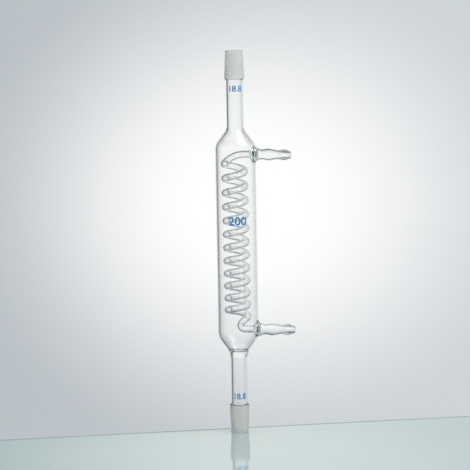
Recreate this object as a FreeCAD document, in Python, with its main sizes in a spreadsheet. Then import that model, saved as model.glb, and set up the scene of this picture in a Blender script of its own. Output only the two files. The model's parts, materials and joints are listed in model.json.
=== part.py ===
"""Coil condenser: a glass jacket with a cooling coil sealed inside it, two hose connectors
and a ground cone at each end.

Frame: millimetres, +Z up along the jacket's axis. The origin is the centre of the lower
cone's end face, and the lower hose connector points along +X.
"""

import FreeCAD, Part
import math
import os

import Sketcher
from FreeCAD import Rotation, Vector

# Driving dimensions, in millimetres and degrees unless the name says otherwise.
SIZES = {
    # Ground cones, standard taper 19/26 (1 in 10 on the diameter)
    "cone_wide_radius": 9.4,
    "cone_ground_length": 26.0,
    "cone_taper": 10.0,
    "cone_wall": 1.6,
    "cone_step": 1.3,
    "cone_stub": 3.0,
    "cone_step_round": 1.0,
    "rim_round": 0.4,
    # Necks
    "neck_wall": 1.5,
    "lower_neck_radius": 7.65,
    "lower_neck_length": 41.0,
    "upper_neck_radius": 8.0,
    "upper_neck_length": 40.5,
    # Thick seam between the lower neck and its shoulder
    "neck_seal_height": 6.4,
    "neck_seal_radius": 9.4,
    "neck_seal_round": 1.2,
    # Jacket and its shoulders
    "jacket_radius": 19.0,
    "jacket_wall": 1.8,
    "jacket_length": 181.0,
    "jacket_lower_round": 16.0,
    "jacket_upper_round": 12.0,
    "shoulder_slope": 1.3,
    "shoulder_radius": 14.5,
    "shoulder_land": 0.5,
    "shoulder_neck_round": 3.0,
    "shoulder_stub": 2.5,
    # Hose arms: heights of their axes from the jacket's ends, and their directions
    "lower_arm_rise": 7.5,
    "lower_arm_droop": 0.0,
    "lower_arm_twist": 0.0,
    "upper_arm_drop": 8.75,
    "upper_arm_droop": 0.5,
    "upper_arm_twist": 8.0,
    # Ring seals in the jacket's wall
    "seal_core_radius": 5.4,
    "seal_flare_radius": 8.8,
    "seal_flare_length": 2.6,
    "seal_flare_corner": 1.2,
    "seal_flare_round": 2.2,
    "seal_rim": 0.5,
    "seal_depth": 2.2,
    "seal_collar": 1.0,
    # Hose connectors: a root, a long bulge and an olive that tapers to the tip
    "hose_root_radius": 6.2,
    "hose_wall": 1.3,
    "root_length": 4.5,
    "root_valley_radius": 4.85,
    "root_valley_round": 5.0,
    "bulge_length": 6.9,
    "bulge_radius": 6.0,
    "bulge_round": 12.0,
    "valley_length": 8.6,
    "valley_radius": 4.3,
    "valley_round": 9.0,
    "olive_length": 6.0,
    "olive_radius": 5.1,
    "olive_round": 4.0,
    "tip_length": 6.6,
    "tip_radius": 3.4,
    "tip_wall": 1.1,
    # Cooling coil and its leads
    "coil_radius": 9.3,
    "coil_tube_radius": 3.5,
    "coil_tube_wall": 1.1,
    "coil_turns": 11.5,
    "coil_drop": 9.25,
    "coil_rise": 12.6,
    "coil_pitch_ratio": 1.28,
    "coil_offset": 1.2,
    "coil_start_angle": 193.0,
}

CORNERS_PER_TURN = 8

doc = FreeCAD.newDocument("coil_condenser")
sheet = doc.addObject("Spreadsheet::Sheet", "sizes")
for row, (alias, size) in enumerate(SIZES.items(), start=1):
    sheet.set(f"A{row}", alias)
    sheet.set(f"B{row}", str(size))
    sheet.setAlias(f"B{row}", alias)
doc.recompute()


class Size:
    """A spreadsheet expression, so that a sum of sizes stays bound to their cells."""

    def __init__(self, text):
        self.text = str(text)

    def value(self):
        """The expression's number for the sheet's present sizes."""
        return float(sheet.evalExpression(self.text))

    def joined(self, sign, other):
        text = other.text if isinstance(other, Size) else str(other)
        return Size(f"({self.text} {sign} {text})")

    def __add__(self, other):
        return self.joined("+", other)

    def __sub__(self, other):
        return self.joined("-", other)

    def __mul__(self, other):
        return self.joined("*", other)

    def __truediv__(self, other):
        return self.joined("/", other)

    def at_most(self, other):
        """The smaller of the two."""
        return Size(f"min({self.text}; {other.text})")


def size(alias):
    """The size that the named cell holds."""
    return Size(f"sizes.{alias}")


# ---------------------------------------------------------------- shared heights and radii

cone_narrow_radius = size("cone_wide_radius") - size("cone_ground_length") / size("cone_taper") / 2
cone_length = size("cone_ground_length") + size("cone_step") + size("cone_stub")
lower_neck_bore = size("lower_neck_radius") - size("neck_wall")
upper_neck_bore = size("upper_neck_radius") - size("neck_wall")
jacket_bore = size("jacket_radius") - size("jacket_wall")

# A sloping wall is thicker across its radius than square to its surface.
slant = Size("sqrt(1 + 1 / sizes.shoulder_slope ^ 2)")
slanted_wall = size("jacket_wall") * slant
bore_corner_lag = (slanted_wall - size("jacket_wall")) * size("shoulder_slope")
# The jacket's end is rounded as far as its sloping wall has room for before the seam with the
# shoulder, less a straight land. A rounding narrows the jacket by this share of its radius.
round_share = Size("1") - Size("1") / slant
round_room = (size("jacket_radius") - size("shoulder_radius") - size("shoulder_land")) / round_share
jacket_lower_round = size("jacket_lower_round").at_most(round_room)
jacket_upper_round = size("jacket_upper_round").at_most(round_room)

neck_seal_base = cone_length + size("lower_neck_length")
neck_seal_top = neck_seal_base + size("neck_seal_height")
shoulder_height = (size("jacket_radius") - size("shoulder_radius")) * size("shoulder_slope")
jacket_base = neck_seal_top + (size("jacket_radius") - size("neck_seal_radius")) * size("shoulder_slope")
jacket_top = jacket_base + size("jacket_length")
upper_neck_corner = jacket_top + (size("jacket_radius") - size("upper_neck_radius")) * size("shoulder_slope")
upper_neck_base = upper_neck_corner + size("shoulder_stub")
upper_cone_base = upper_neck_base + size("upper_neck_length")
top_rim = upper_cone_base + cone_length

lower_arm_height = jacket_base + size("lower_arm_rise")
upper_arm_height = jacket_top - size("upper_arm_drop")
seal_inner_end = jacket_bore - size("seal_depth")
seal_outer_end = size("jacket_radius") + size("seal_flare_length")
coil_bore = size("coil_tube_radius") - size("coil_tube_wall")


# ---------------------------------------------------------------- turned pieces

def origin_feature(body, role):
    """A plane or an axis of a body's own origin."""
    return next(feature for feature in body.Origin.OriginFeatures if feature.Role == role)


def rounded_corner(before, corner, after, radius):
    """Where an outline's straight sides stop at a corner, and the arc between them, if any."""
    if radius <= 0:
        return corner, corner, None
    back = (before - corner).normalize()
    ahead = (after - corner).normalize()
    half_turn = back.getAngle(ahead) / 2
    start = corner + back * (radius / math.tan(half_turn))
    end = corner + ahead * (radius / math.tan(half_turn))
    centre = corner + (back + ahead).normalize() * (radius / math.sin(half_turn))
    first, last = [math.atan2(point.y - centre.y, point.x - centre.x) for point in (start, end)]
    anticlockwise = (start - centre).cross(end - centre).z > 0
    circle = Part.Circle(centre, Vector(0, 0, 1), radius)
    arc = Part.ArcOfCircle(circle, *((first, last) if anticlockwise else (last, first)))
    return start, end, (arc, anticlockwise)


def turned(name, corners):
    """A body turned about +Z from a closed outline of (radius, height) or (radius, height,
    round) corners. Each corner's place and round are bound to the sheet."""
    body = doc.addObject("PartDesign::Body", name)
    sketch = body.newObject("Sketcher::SketchObject", f"{name}_outline")
    sketch.AttachmentSupport = [(origin_feature(body, "XZ_Plane"), "")]
    sketch.MapMode = "FlatFace"

    points = [Vector(corner[0].value(), corner[1].value(), 0) for corner in corners]
    rounds = [corner[2].value() if len(corner) == 3 else 0.0 for corner in corners]
    neighbours = zip(points[-1:] + points[:-1], points, points[1:] + points[:1], rounds)
    stops = [rounded_corner(*each) for each in neighbours]
    lines = []
    for here, following in zip(stops, stops[1:] + stops[:1]):
        lines.append(sketch.addGeometry(Part.LineSegment(here[1], following[0]), False))

    def bind(constraint, extent):
        index = sketch.addConstraint(constraint)
        sketch.setExpression(f"Constraints[{index}]", extent.text)

    for index, corner in enumerate(corners):
        before, after = lines[index - 1], lines[index]
        if stops[index][2]:
            arc, anticlockwise = stops[index][2]
            curve = sketch.addGeometry(arc, False)
            first, last = (1, 2) if anticlockwise else (2, 1)
            sketch.addConstraint(Sketcher.Constraint("Tangent", before, 2, curve, first))
            sketch.addConstraint(Sketcher.Constraint("Tangent", curve, last, after, 1))
            bind(Sketcher.Constraint("Radius", curve, rounds[index]), corner[2])
            vertex = sketch.addGeometry(Part.Point(points[index]), True)
            sketch.addConstraint(Sketcher.Constraint("PointOnObject", vertex, 1, before))
            sketch.addConstraint(Sketcher.Constraint("PointOnObject", vertex, 1, after))
        else:
            sketch.addConstraint(Sketcher.Constraint("Coincident", before, 2, after, 1))
            vertex = after
        bind(Sketcher.Constraint("DistanceX", -1, 1, vertex, 1, points[index].x), corner[0])
        bind(Sketcher.Constraint("DistanceY", -1, 1, vertex, 1, points[index].y), corner[1])

    revolution = body.newObject("PartDesign::Revolution", f"{name}_turned")
    revolution.Profile = sketch
    revolution.ReferenceAxis = (origin_feature(body, "Z_Axis"), [""])
    revolution.Angle = 360
    return body


def ground_cone(name, base, rim, way, neck_radius):
    """A ground cone on a short stub of neck. way is 1 where the cone's narrow end is below the
    stub and -1 where it is above."""
    wide = rim + size("cone_ground_length") * way
    stub = wide + size("cone_step") * way
    neck_bore = neck_radius - size("neck_wall")
    return turned(name, [
        (cone_narrow_radius, rim, size("rim_round")),
        (size("cone_wide_radius"), wide, size("cone_step_round")),
        (neck_radius, stub, size("cone_step_round")),
        (neck_radius, base),
        (neck_bore, base),
        (neck_bore, stub, size("cone_step_round")),
        (size("cone_wide_radius") - size("cone_wall"), wide, size("cone_step_round")),
        (cone_narrow_radius - size("cone_wall"), rim, size("rim_round")),
    ])


def neck_tube(name, radius, base, top):
    """A plain length of neck."""
    bore = radius - size("neck_wall")
    return turned(name, [(radius, base), (radius, top), (bore, top), (bore, base)])


def jacket_shape(name, depth, end_depth, corner_lag):
    """A solid with the jacket's outline at a depth below its outer surface. end_depth is that
    depth across the radius of a sloping wall."""
    radius = size("jacket_radius") - depth
    axis = Size("0")
    return turned(name, [
        (axis, jacket_base - shoulder_height),
        (size("shoulder_radius") - end_depth, jacket_base - shoulder_height),
        (radius, jacket_base + corner_lag, jacket_lower_round - depth),
        (radius, jacket_top - corner_lag, jacket_upper_round - depth),
        (size("shoulder_radius") - end_depth, jacket_top + shoulder_height),
        (axis, jacket_top + shoulder_height),
    ])


def lower_shoulder():
    """The cone between the jacket and the thick neck seam."""
    return turned("lower_shoulder", [
        (size("shoulder_radius"), jacket_base - shoulder_height),
        (size("neck_seal_radius"), neck_seal_top),
        (size("neck_seal_radius") - slanted_wall, neck_seal_top),
        (size("shoulder_radius") - slanted_wall, jacket_base - shoulder_height),
    ])


def upper_shoulder():
    """The cone between the jacket and the upper neck, drawn into a stub of that neck."""
    inner_round = size("shoulder_neck_round") + size("neck_wall")
    inner_drop = size("jacket_radius") - upper_neck_bore - slanted_wall
    inner_corner = jacket_top + inner_drop * size("shoulder_slope")
    return turned("upper_shoulder", [
        (size("shoulder_radius"), jacket_top + shoulder_height),
        (size("upper_neck_radius"), upper_neck_corner, size("shoulder_neck_round")),
        (size("upper_neck_radius"), upper_neck_base),
        (upper_neck_bore, upper_neck_base),
        (upper_neck_bore, inner_corner, inner_round),
        (size("shoulder_radius") - slanted_wall, jacket_top + shoulder_height),
    ])


def lower_neck_seal():
    """The thick seam where the lower shoulder is sealed to its neck."""
    crown = neck_seal_top - size("neck_seal_round")
    return turned("lower_neck_seal", [
        (size("lower_neck_radius"), neck_seal_base),
        (size("neck_seal_radius"), crown, size("neck_seal_round")),
        (size("neck_seal_radius"), neck_seal_top),
        (size("neck_seal_radius") - slanted_wall, neck_seal_top),
        (lower_neck_bore, crown),
        (lower_neck_bore, neck_seal_base),
    ])


# ---------------------------------------------------------------- hose arms

class Arm:
    """One hose arm: the height at which its axis crosses the jacket's, and its direction."""

    def __init__(self, side, height):
        self.side = side
        self.height = height
        self.twist = size(f"{side}_arm_twist")
        self.droop = size(f"{side}_arm_droop")

    def place(self, piece):
        """Turns a piece made about +Z so that it lies along the arm."""
        piece.setExpression("Placement", (
            f"create(<<placement>>; create(<<vector>>; 0; 0; {self.height.text}); "
            f"create(<<rotation>>; 0 - {self.twist.text}; 90 + {self.droop.text}; 0))"
        ))
        return piece

    def point(self, distance):
        """The point of the arm's axis at a distance from the jacket's axis."""
        turn = Rotation(-self.twist.value(), 90 + self.droop.value(), 0)
        return Vector(0, 0, self.height.value()) + turn.multVec(Vector(0, 0, distance))


def seal_core(arm):
    """The round plug of glass that fills the jacket's hole at an arm."""
    core = doc.addObject("Part::Cylinder", f"{arm.side}_seal_core")
    core.setExpression("Radius", size("seal_core_radius").text)
    core.setExpression("Height", (seal_outer_end + size("seal_flare_length")).text)
    return arm.place(core)


def ring_seal(arm, pierced_jacket):
    """The seal in the jacket's wall: a collar inside for the coil's lead, a core through the
    wall and a flare outside that lies on the jacket."""
    collar_end = seal_inner_end + size("seal_collar")
    flare_base = jacket_bore - size("seal_depth") / 2
    flare_edge = size("jacket_radius") - size("seal_rim")
    flare_corner = size("jacket_radius") + size("seal_flare_corner")
    blank = arm.place(turned(f"{arm.side}_seal_blank", [
        (coil_bore, seal_inner_end),
        (size("coil_tube_radius"), seal_inner_end),
        (size("seal_core_radius"), collar_end),
        (size("seal_core_radius"), flare_base),
        (size("seal_flare_radius"), flare_base),
        (size("seal_flare_radius"), flare_edge),
        (size("hose_root_radius"), flare_corner, size("seal_flare_round")),
        (size("hose_root_radius"), seal_outer_end),
        (size("hose_root_radius") - size("hose_wall"), seal_outer_end),
        (coil_bore, jacket_bore),
    ]))
    seal = doc.addObject("Part::Cut", f"{arm.side}_ring_seal")
    seal.Base = blank
    seal.Tool = pierced_jacket
    return seal


def hose_connector(arm):
    """A hose connector: a root valley, a long bulge, a second valley and an olive."""
    root = seal_outer_end
    root_valley = root + size("root_length")
    bulge = root_valley + size("bulge_length")
    valley = bulge + size("valley_length")
    olive = valley + size("olive_length")
    tip = olive + size("tip_length")
    tip_bore = size("tip_radius") - size("tip_wall")
    return arm.place(turned(f"{arm.side}_hose_connector", [
        (size("hose_root_radius"), root),
        (size("root_valley_radius"), root_valley, size("root_valley_round")),
        (size("bulge_radius"), bulge, size("bulge_round")),
        (size("valley_radius"), valley, size("valley_round")),
        (size("olive_radius"), olive, size("olive_round")),
        (size("tip_radius"), tip, size("rim_round")),
        (tip_bore, tip),
        (size("valley_radius") - size("hose_wall"), valley, size("valley_round") + size("hose_wall")),
        (size("bulge_radius") - size("hose_wall"), bulge, size("bulge_round") - size("hose_wall")),
        (size("root_valley_radius") - size("hose_wall"), root_valley,
         size("root_valley_round") + size("hose_wall")),
        (size("hose_root_radius") - size("hose_wall"), root),
    ]))


# ---------------------------------------------------------------- cooling coil and its leads

class Coil:
    """The helix of the cooling coil, as a polygon whose sides touch the tube's centreline. It
    goes down clockwise, its pitch falls from the top to the bottom, and it leans a little."""

    def __init__(self, top, bottom):
        self.top = top
        self.bottom = bottom
        self.radius = size("coil_radius").value()
        self.turns = size("coil_turns").value()
        self.start = size("coil_start_angle").value()
        self.offset = size("coil_offset").value()
        ratio = size("coil_pitch_ratio").value()
        mean_pitch = (top - bottom) / self.turns
        self.first_pitch = mean_pitch * 2 * ratio / (1 + ratio)
        self.last_pitch = mean_pitch * 2 / (1 + ratio)
        self.sides = round(self.turns * CORNERS_PER_TURN)

    def around(self, degrees, radius, height):
        """A point about the coil's leaning axis."""
        lean = -self.offset * (height - self.bottom) / (self.top - self.bottom)
        turn = math.radians(degrees)
        return Vector(lean + radius * math.cos(turn), radius * math.sin(turn), height)

    def corner(self, index):
        """A corner of the polygon. Corners 1 to sides are the coil's own."""
        turns = (index - 0.5) / CORNERS_PER_TURN
        fall = (self.first_pitch - self.last_pitch) / (2 * self.turns)
        height = self.top - self.first_pitch * turns + fall * turns ** 2
        reach = self.radius / math.cos(math.pi / CORNERS_PER_TURN)
        return self.around(self.start - 360 * turns, reach, height)

    def end(self, index):
        """The middle of the side that leaves a corner: where the coil meets a lead."""
        return (self.corner(index) + self.corner(index + 1)) / 2

    def route(self):
        """The coil's own points, from its upper end to its lower end."""
        corners = [self.corner(index) for index in range(1, self.sides + 1)]
        return [self.end(0), *corners, self.end(self.sides)]


def tangent_path(route):
    """Straight runs joined by tangent arcs, each as large as its two runs allow."""
    last = len(route) - 1
    runs = [(after - before).Length for before, after in zip(route, route[1:])]
    edges = []
    reached = route[0]
    for index in range(1, last):
        corner = route[index]
        before = (route[index - 1] - corner).normalize()
        after = (route[index + 1] - corner).normalize()
        room = min(runs[index - 1] / (1 if index == 1 else 2), runs[index] / (1 if index == last - 1 else 2))
        half_turn = before.getAngle(after) / 2
        radius = room * math.tan(half_turn)
        start, end = corner + before * room, corner + after * room
        crown = corner + (before + after).normalize() * (radius / math.sin(half_turn) - radius)
        if start.distanceToPoint(reached) > 1e-6:
            edges.append(Part.LineSegment(reached, start).toShape())
        edges.append(Part.Arc(start, crown, end).toShape())
        reached = end
    if reached.distanceToPoint(route[-1]) > 1e-6:
        edges.append(Part.LineSegment(reached, route[-1]).toShape())
    return Part.Wire(edges)


def swept(path, radius):
    """A round rod along a path."""
    first = path.Edges[0]
    start = first.FirstParameter
    ring = Part.makeCircle(radius, first.valueAt(start), first.tangentAt(start))
    return path.makePipeShell([Part.Wire(ring)], True, True)


def glass_tube(name, route):
    """A tube of the coil's section along a route of points."""
    path = tangent_path(route)
    outer, bore = size("coil_tube_radius").value(), coil_bore.value()
    tube = doc.addObject("Part::Feature", name)
    tube.Shape = swept(path, outer).cut(swept(path, bore))
    section = math.pi * (outer ** 2 - bore ** 2)
    tightest = min([edge.Curve.Radius for edge in path.Edges if isinstance(edge.Curve, Part.Circle)])
    print(f"{name}: volume over section times length {tube.Shape.Volume / section / path.Length:.5f}, "
          f"tightest bend {tightest:.2f}")
    return tube


# Bends of the leads: degrees about the axis, distance out as a share of the coil's radius,
# and height as a share of the way from the arm's axis to the coil's end.
UPPER_LEAD_BEND = (265.0, 0.70, 0.20)
UPPER_LEAD_ENTRY = 0.70
LOWER_LEAD_BENDS = [(-42.0, 0.98, 0.72), (-59.0, 0.56, 0.32)]
LOWER_LEAD_ENTRY = 0.45


def lead_bend(coil, arm, end_height, bend):
    """A bend of a lead between an arm and the coil's end."""
    degrees, out, share = bend
    height = arm.height.value() + (end_height - arm.height.value()) * share
    return coil.around(degrees, coil.radius * out, height)


def upper_lead(coil, arm):
    """The lead from the upper ring seal, in front of the axis and down into the coil."""
    return glass_tube("upper_coil_lead", [
        arm.point(seal_inner_end.value()),
        arm.point(coil.radius * UPPER_LEAD_ENTRY),
        lead_bend(coil, arm, coil.top, UPPER_LEAD_BEND),
        coil.corner(0),
        coil.end(0),
    ])


def lower_lead(coil, arm):
    """The lead from the coil's lower end, hooked under itself into the lower ring seal."""
    return glass_tube("lower_coil_lead", [
        coil.end(coil.sides),
        coil.corner(coil.sides + 1),
        *[lead_bend(coil, arm, coil.bottom, bend) for bend in LOWER_LEAD_BENDS],
        arm.point(coil.radius * LOWER_LEAD_ENTRY),
        arm.point(seal_inner_end.value()),
    ])


# ---------------------------------------------------------------- the assembly

def cut(name, base, tool):
    """One piece less another."""
    result = doc.addObject("Part::Cut", name)
    result.Base = base
    result.Tool = tool
    return result


def build():
    """Every piece of the condenser, in order from the bottom to the top."""
    lower_arm = Arm("lower", lower_arm_height)
    upper_arm = Arm("upper", upper_arm_height)

    blank = jacket_shape("jacket_blank", Size("0"), Size("0"), Size("0"))
    hollow = jacket_shape("jacket_hollow", size("jacket_wall"), slanted_wall, bore_corner_lag)
    pierced = blank
    for arm in (lower_arm, upper_arm):
        pierced = cut(f"jacket_pierced_{arm.side}", pierced, seal_core(arm))

    coil_top = upper_arm_height - size("coil_drop")
    coil_bottom = lower_arm_height + size("coil_rise")
    coil = Coil(coil_top.value(), coil_bottom.value())
    return {
        "lower_ground_cone": ground_cone(
            "lower_ground_cone", cone_length, Size("0"), 1, size("lower_neck_radius")),
        "lower_neck": neck_tube("lower_neck", size("lower_neck_radius"), cone_length, neck_seal_base),
        "lower_neck_seal": lower_neck_seal(),
        "lower_shoulder": lower_shoulder(),
        "jacket_tube": cut("jacket_tube", pierced, hollow),
        "upper_shoulder": upper_shoulder(),
        "upper_neck": neck_tube("upper_neck", size("upper_neck_radius"), upper_neck_base, upper_cone_base),
        "upper_ground_cone": ground_cone(
            "upper_ground_cone", upper_cone_base, top_rim, -1, size("upper_neck_radius")),
        "lower_ring_seal": ring_seal(lower_arm, pierced),
        "lower_hose_connector": hose_connector(lower_arm),
        "upper_ring_seal": ring_seal(upper_arm, pierced),
        "upper_hose_connector": hose_connector(upper_arm),
        "cooling_coil": glass_tube("cooling_coil", coil.route()),
        "upper_coil_lead": upper_lead(coil, upper_arm),
        "lower_coil_lead": lower_lead(coil, lower_arm),
    }


def check(pieces):
    """Stops at an object that failed, or at a piece that isn't one sound solid."""
    for item in doc.Objects:
        if "Invalid" in item.State or "Error" in item.State:
            raise RuntimeError(f"{item.Name} failed: {item.getStatusString()}")
    for node, piece in pieces.items():
        shape = piece.Shape
        if shape.isNull() or not shape.isValid() or len(shape.Solids) != 1:
            raise RuntimeError(f"{node} isn't one valid solid")


pieces = build()
doc.recompute()
check(pieces)
os.makedirs("parts", exist_ok=True)
for node, piece in pieces.items():
    piece.Label = node
    piece.Shape.exportStep(f"parts/{node}.step")
    print(f"{node}: {piece.Shape.Volume:.1f} mm3")
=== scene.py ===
"""A coil condenser of clear glass, standing on its lower cone at the back edge of a shelf.

Lengths in this script are millimetres until a mesh is made, and metres in the scene. Heights
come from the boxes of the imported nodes, and the hose arms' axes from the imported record. The
studio's lengths are metres throughout.
"""

import json
import logging
import math
from dataclasses import dataclass, field
from enum import Enum, IntEnum
from typing import Any, Sequence

import bmesh
import bpy
import numpy as np
from mathutils import Matrix, Vector


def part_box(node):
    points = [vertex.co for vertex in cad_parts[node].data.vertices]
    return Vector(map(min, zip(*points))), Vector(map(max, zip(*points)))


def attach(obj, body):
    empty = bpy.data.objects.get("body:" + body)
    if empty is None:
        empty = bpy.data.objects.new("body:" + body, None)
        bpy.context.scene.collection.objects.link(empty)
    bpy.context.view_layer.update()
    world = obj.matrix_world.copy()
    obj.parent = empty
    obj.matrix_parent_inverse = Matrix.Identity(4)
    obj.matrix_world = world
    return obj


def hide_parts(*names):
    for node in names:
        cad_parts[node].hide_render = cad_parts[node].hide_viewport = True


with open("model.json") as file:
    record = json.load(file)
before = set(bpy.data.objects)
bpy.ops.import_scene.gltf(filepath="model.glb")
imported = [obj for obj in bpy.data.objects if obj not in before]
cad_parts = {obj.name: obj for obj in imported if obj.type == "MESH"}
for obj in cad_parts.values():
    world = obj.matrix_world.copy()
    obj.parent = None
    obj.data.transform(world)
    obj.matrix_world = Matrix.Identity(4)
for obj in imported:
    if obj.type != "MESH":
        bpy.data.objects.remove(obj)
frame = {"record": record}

LOG = logging.getLogger("condenser")
MM = 0.001

# Two points closer than NEAR are one, a turn below STRAIGHT is no corner, and a side whose
# ends differ by less than LEVEL is level. Lengths are in millimetres and turns in radians.
NEAR = 1e-9
STRAIGHT = 1e-4
LEVEL = 1e-4

# Degrees from point to point of an outline's rounding, by the rounding's radius, and of a
# path's bend, with the longest step of the path's straight runs.
LARGE_ROUND = 3.0
FINE_STEP = 3.0
COARSE_STEP = 9.0
PATH_STEP = 4.0
PATH_REACH = 1.5

# Edges that turn by more than this many degrees stay sharp.
SHARP = 32.0

MATERIALS: dict[str, bpy.types.Material] = {}

Colour = tuple[float, float, float]
Corner = tuple[float, ...]
Bend = tuple[float, float, float]
Range = tuple[float, float]

UP = (0.0, 0.0, 1.0)


# ---- shader expressions


class Signal:
    """A socket of a node tree. Arithmetic on it adds Math nodes."""

    def __init__(self, nodes: "Nodes", socket: bpy.types.NodeSocket) -> None:
        """Wraps a socket of the tree that nodes builds."""
        self.nodes = nodes
        self.socket = socket

    def _math(self, operation: str, *terms: Any) -> "Signal":
        """A Math node of the given operation on these terms."""
        return self.nodes.add("ShaderNodeMath", {"operation": operation}, dict(enumerate(terms)))

    def __add__(self, other: Any) -> "Signal":
        """The sum."""
        return self._math("ADD", self, other)

    __radd__ = __add__

    def __sub__(self, other: Any) -> "Signal":
        """The difference."""
        return self._math("SUBTRACT", self, other)

    def __rsub__(self, other: Any) -> "Signal":
        """The difference, from a plain number."""
        return self._math("SUBTRACT", other, self)

    def __mul__(self, other: Any) -> "Signal":
        """The product."""
        return self._math("MULTIPLY", self, other)

    __rmul__ = __mul__

    def __truediv__(self, other: Any) -> "Signal":
        """The quotient."""
        return self._math("DIVIDE", self, other)

    def __pow__(self, other: Any) -> "Signal":
        """The power."""
        return self._math("POWER", self, other)

    def clamped(self) -> "Signal":
        """The value held between 0 and 1."""
        return self._math("MINIMUM", self._math("MAXIMUM", self, 0.0), 1.0)

    def larger(self, other: Any) -> "Signal":
        """The larger of two values."""
        return self._math("MAXIMUM", self, other)

    def between(self, low: float, high: float) -> "Signal":
        """0 at low, 1 at high, and a smooth step between them."""
        return self.nodes.add(
            "ShaderNodeMapRange",
            {"interpolation_type": "SMOOTHSTEP"},
            {"Value": self, "From Min": low, "From Max": high},
        )


class Nodes:
    """Builds the node tree of a material or of the world."""

    def __init__(self, owner: Any) -> None:
        """Empties the owner's node tree.

        Args:
            owner: a material or a world.
        """
        owner.use_nodes = True
        self.tree = owner.node_tree
        self.tree.nodes.clear()

    def add(
        self, kind: str, settings: dict[str, Any] | None = None,
        inputs: dict[Any, Any] | None = None, output: Any = 0,
    ) -> Signal:
        """Adds one node.

        Args:
            kind: the node's type.
            settings: the node's own settings, set first.
            inputs: values or signals for its sockets, by name or number.
            output: the socket that is returned, by name or number.

        Returns:
            The chosen output, or None for a node that has none.
        """
        node = self.tree.nodes.new(kind)
        for key, value in (settings or {}).items():
            setattr(node, key, value)
        for key, value in (inputs or {}).items():
            if isinstance(value, Signal):
                self.tree.links.new(value.socket, node.inputs[key])
            elif isinstance(value, tuple) and node.inputs[key].type == "RGBA":
                node.inputs[key].default_value = (*value, 1.0)
            else:
                node.inputs[key].default_value = value
        return Signal(self, node.outputs[output]) if len(node.outputs) else None

    def mix(self, share: Any, first: Any, second: Any) -> Signal:
        """A colour that goes from the first to the second with the share."""
        sockets = {"Factor": share, 6: first, 7: second}
        return self.add("ShaderNodeMix", {"data_type": "RGBA"}, sockets, output=2)

    def vector(self, operation: str, first: Any, second: Any, output: Any = 0) -> Signal:
        """A Vector Math node."""
        sockets = {0: first, 1: second}
        return self.add("ShaderNodeVectorMath", {"operation": operation}, sockets, output)

    def along(self, place: Signal, axis: tuple[float, ...]) -> Signal:
        """How far a place lies along an axis: their dot product."""
        return self.vector("DOT_PRODUCT", place, axis, output="Value")

    def place(self) -> Signal:
        """The point on the surface, in metres."""
        return self.add("ShaderNodeTexCoord", output="Object")

    def noise(self, place: Signal, scale: float, detail: float = 2.0) -> Signal:
        """Smooth noise from 0 to 1."""
        sockets = {"Vector": place, "Scale": scale, "Detail": detail}
        return self.add("ShaderNodeTexNoise", {}, sockets)

    def relief(self, strength: float, distance: float, height: Signal) -> Signal:
        """The normals of a fine relief."""
        sockets = {"Strength": strength, "Distance": distance, "Height": height}
        return self.add("ShaderNodeBump", {}, sockets)

    def path(self, kind: str) -> Signal:
        """1 on a ray of this kind, and 0 on others."""
        return self.add("ShaderNodeLightPath", output=f"Is {kind} Ray")

    def seen(self) -> Signal:
        """1 for what is seen directly, mirrored or through glass, and 0 for what only lights."""
        return self.path("Camera").larger(self.path("Glossy")).larger(self.path("Transmission"))

    def surface(self, inputs: dict[Any, Any]) -> None:
        """Ends a material in a Principled surface with these sockets."""
        shader = self.add("ShaderNodeBsdfPrincipled", {}, inputs)
        self.add("ShaderNodeOutputMaterial", {}, {"Surface": shader})


def blank_material(name: str) -> tuple[bpy.types.Material, Nodes]:
    """A new material and its empty node tree."""
    made = bpy.data.materials.new(name)
    return made, Nodes(made)


# ---- finishes


@dataclass(frozen=True)
class GlassFinish:
    """Blown or drawn glass: clear straight through, and darker where it is seen edge on, partly
    its own deeper tint through its thickness and partly painted shade that draws dark outlines.
    """

    name: str
    slot: str
    clear: Colour
    # edge: partly the glass's own deeper tint, partly painted shade for its dark outlines
    edge: Colour
    edge_power: float
    ripple: float = 0.05
    ripple_scale: float = 60.0
    ripple_depth: float = 0.0006
    ripple_stretch: tuple[float, float, float] = (1.0, 1.0, 0.25)
    roughness: float = 0.0
    ior: float = 1.47

    def material(self) -> bpy.types.Material:
        """The material."""
        made, nodes = blank_material(self.name)
        drawn = nodes.vector("MULTIPLY", nodes.place(), self.ripple_stretch)
        ripple = nodes.noise(drawn, self.ripple_scale, 1.0)
        # Painted shade: the colour goes towards the edge colour where the surface is seen edge on,
        # which draws dark outlines; partly this is the glass's own tint through its depth.
        facing = nodes.add("ShaderNodeLayerWeight", {}, {"Blend": 0.5}, output="Facing")
        nodes.surface({
            "Base Color": nodes.mix((facing ** self.edge_power).clamped(), self.clear, self.edge),
            "Roughness": self.roughness,
            "IOR": self.ior,
            "Transmission Weight": 1.0,
            "Normal": nodes.relief(self.ripple, self.ripple_depth, ripple),
        })
        return made


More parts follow.
